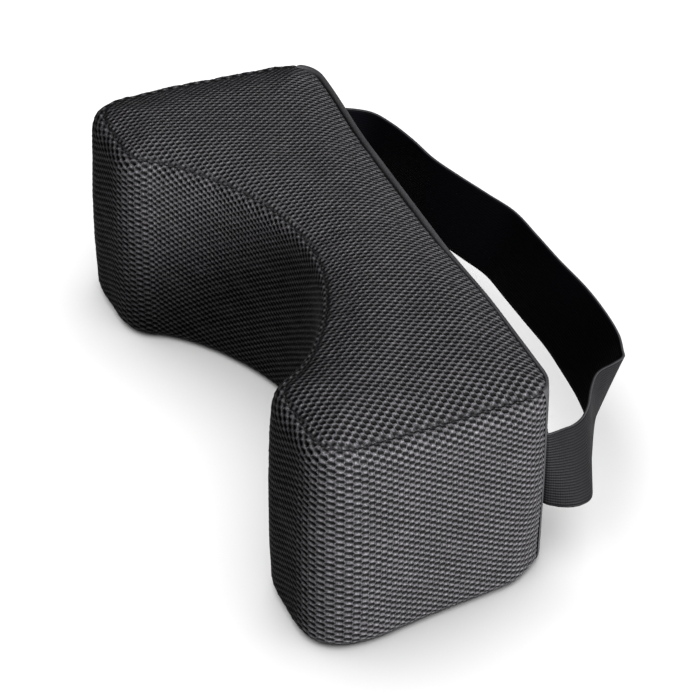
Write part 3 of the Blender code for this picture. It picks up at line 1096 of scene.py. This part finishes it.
mesh_cloth = air_mesh()
base_knit = knit("base_knit", dark=(0.03, 0.03, 0.034), light=(0.07, 0.07, 0.075), scale=900.0)
smooth_knit = knit("smooth_knit", dark=(0.007, 0.0068, 0.0075), light=(0.018, 0.0175, 0.019),
                   scale=1300.0)
inner_face = ribbed("elastic_inner", dark=(0.0002, 0.0002, 0.0004), light=(0.0006, 0.0006, 0.0010),
                    rib_depth=0.0001, gloss=0.02)
outer_face = ribbed("elastic_outer", dark=(0.0012, 0.0012, 0.0014), light=(0.0048, 0.0046, 0.0053),
                    rib_depth=0.0004, gloss=0.05)
strap_edge = knit("elastic_edge", dark=(0.006, 0.006, 0.007), light=(0.015, 0.0147, 0.016),
                  scale=1500.0)
side.data.materials.append(mesh_cloth)
top.data.materials.append(mesh_cloth)
base.data.materials.append(base_knit)
back.data.materials.append(smooth_knit)
for material in (inner_face, outer_face, strap_edge):
    strap.data.materials.append(material)


# Floor, lights and camera

FLOOR_REACH = 6.0
FLOOR_GREY = 0.50
FLOOR_ROUGHNESS = 0.6
LIGHT_AIM = (0.0, -0.02, 0.06)
WORLD_STRENGTH = 0.05

# Camera fitted to the photo: angles in degrees, a middle point, and shifts across and up
CAMERA_AZIMUTH = 65.076
CAMERA_ELEVATION = 41.666
CAMERA_ROLL = 0.61
CAMERA_CENTRE_Y = -0.070
CAMERA_CENTRE_Z = 0.060
CAMERA_DISTANCE = 1.73431
CAMERA_SHIFT_ACROSS = 0.02326
CAMERA_SHIFT_UP = -0.00929
FOCAL_LENGTH_PIXELS = 3284.69
PHOTO_PIXELS = 700.0
SENSOR_WIDTH = 36.0


def build_floor():
    mesh = bpy.data.meshes.new("floor")
    corners = [(-1, -1), (1, -1), (1, 1), (-1, 1)]
    points = [(x * FLOOR_REACH, y * FLOOR_REACH, 0.0) for x, y in corners]
    mesh.from_pydata(points, [], [(0, 1, 2, 3)])
    material = bpy.data.materials.new("floor")
    material.use_nodes = True
    shader = material.node_tree.nodes["Principled BSDF"]
    shader.inputs["Base Color"].default_value = (FLOOR_GREY, FLOOR_GREY, FLOOR_GREY, 1.0)
    shader.inputs["Roughness"].default_value = FLOOR_ROUGHNESS
    mesh.materials.append(material)
    obj = add_object("floor", mesh)
    return obj


def area_light(name, place, aim, size, power, receivers):
    """A square light that reaches only the receivers."""
    data = bpy.data.lights.new(name, "AREA")
    data.shape = "SQUARE"
    data.size = size
    data.energy = power
    obj = add_object(name, data)
    obj.location = place
    obj.rotation_euler = (Vector(aim) - Vector(place)).to_track_quat("-Z", "Y").to_euler()
    group = bpy.data.collections.new(name + " receivers")
    for item in receivers:
        group.objects.link(item)
    obj.light_linking.receiver_collection = group


def build_camera():
    azimuth = math.radians(CAMERA_AZIMUTH)
    elevation = math.radians(CAMERA_ELEVATION)
    roll = math.radians(CAMERA_ROLL)
    level = math.cos(elevation)
    backward = Vector((math.sin(azimuth) * level, -math.cos(azimuth) * level, math.sin(elevation)))
    level_right = Vector((math.cos(azimuth), math.sin(azimuth), 0.0))
    level_up = backward.cross(level_right)
    right = math.cos(roll) * level_right + math.sin(roll) * level_up
    up = -math.sin(roll) * level_right + math.cos(roll) * level_up
    centre = Vector((0.0, CAMERA_CENTRE_Y + BACK_Y, CAMERA_CENTRE_Z))
    eye = centre + backward * CAMERA_DISTANCE
    eye = eye + right * CAMERA_SHIFT_ACROSS + up * CAMERA_SHIFT_UP
    data = bpy.data.cameras.new("camera")
    data.sensor_width = SENSOR_WIDTH
    data.lens = FOCAL_LENGTH_PIXELS / PHOTO_PIXELS * SENSOR_WIDTH
    obj = add_object("camera", data)
    obj.matrix_world = Matrix((
        (right.x, up.x, backward.x, eye.x),
        (right.y, up.y, backward.y, eye.y),
        (right.z, up.z, backward.z, eye.z),
        (0.0, 0.0, 0.0, 1.0),
    ))
    bpy.context.scene.camera = obj


def build_world():
    world = bpy.data.worlds.new("studio")
    world.use_nodes = True
    background = world.node_tree.nodes["Background"]
    background.inputs["Color"].default_value = (1.0, 1.0, 1.0, 1.0)
    background.inputs["Strength"].default_value = WORLD_STRENGTH
    bpy.context.scene.world = world


floor = build_floor()
build_camera()
build_world()
cloth = [side, top, base, back, strap]
area_light("key", (2.2, 0.35, 0.95), LIGHT_AIM, size=1.0, power=430.0, receivers=cloth)
area_light("top", (0.3, 0.3, 2.1), LIGHT_AIM, size=1.2, power=62.0, receivers=cloth)
area_light("floor wash", (0.0, 0.0, 1.8), (0.0, 0.0, 0.0), size=3.0, power=150.0, receivers=[floor])
bpy.context.scene.view_settings.view_transform = "Standard"


# What each piece stands for

for piece in (side, top, base):
    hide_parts("cushion")
    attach(piece, "root")
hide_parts("back_panel")
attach(back, "root")
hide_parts("strap")
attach(strap, "root")
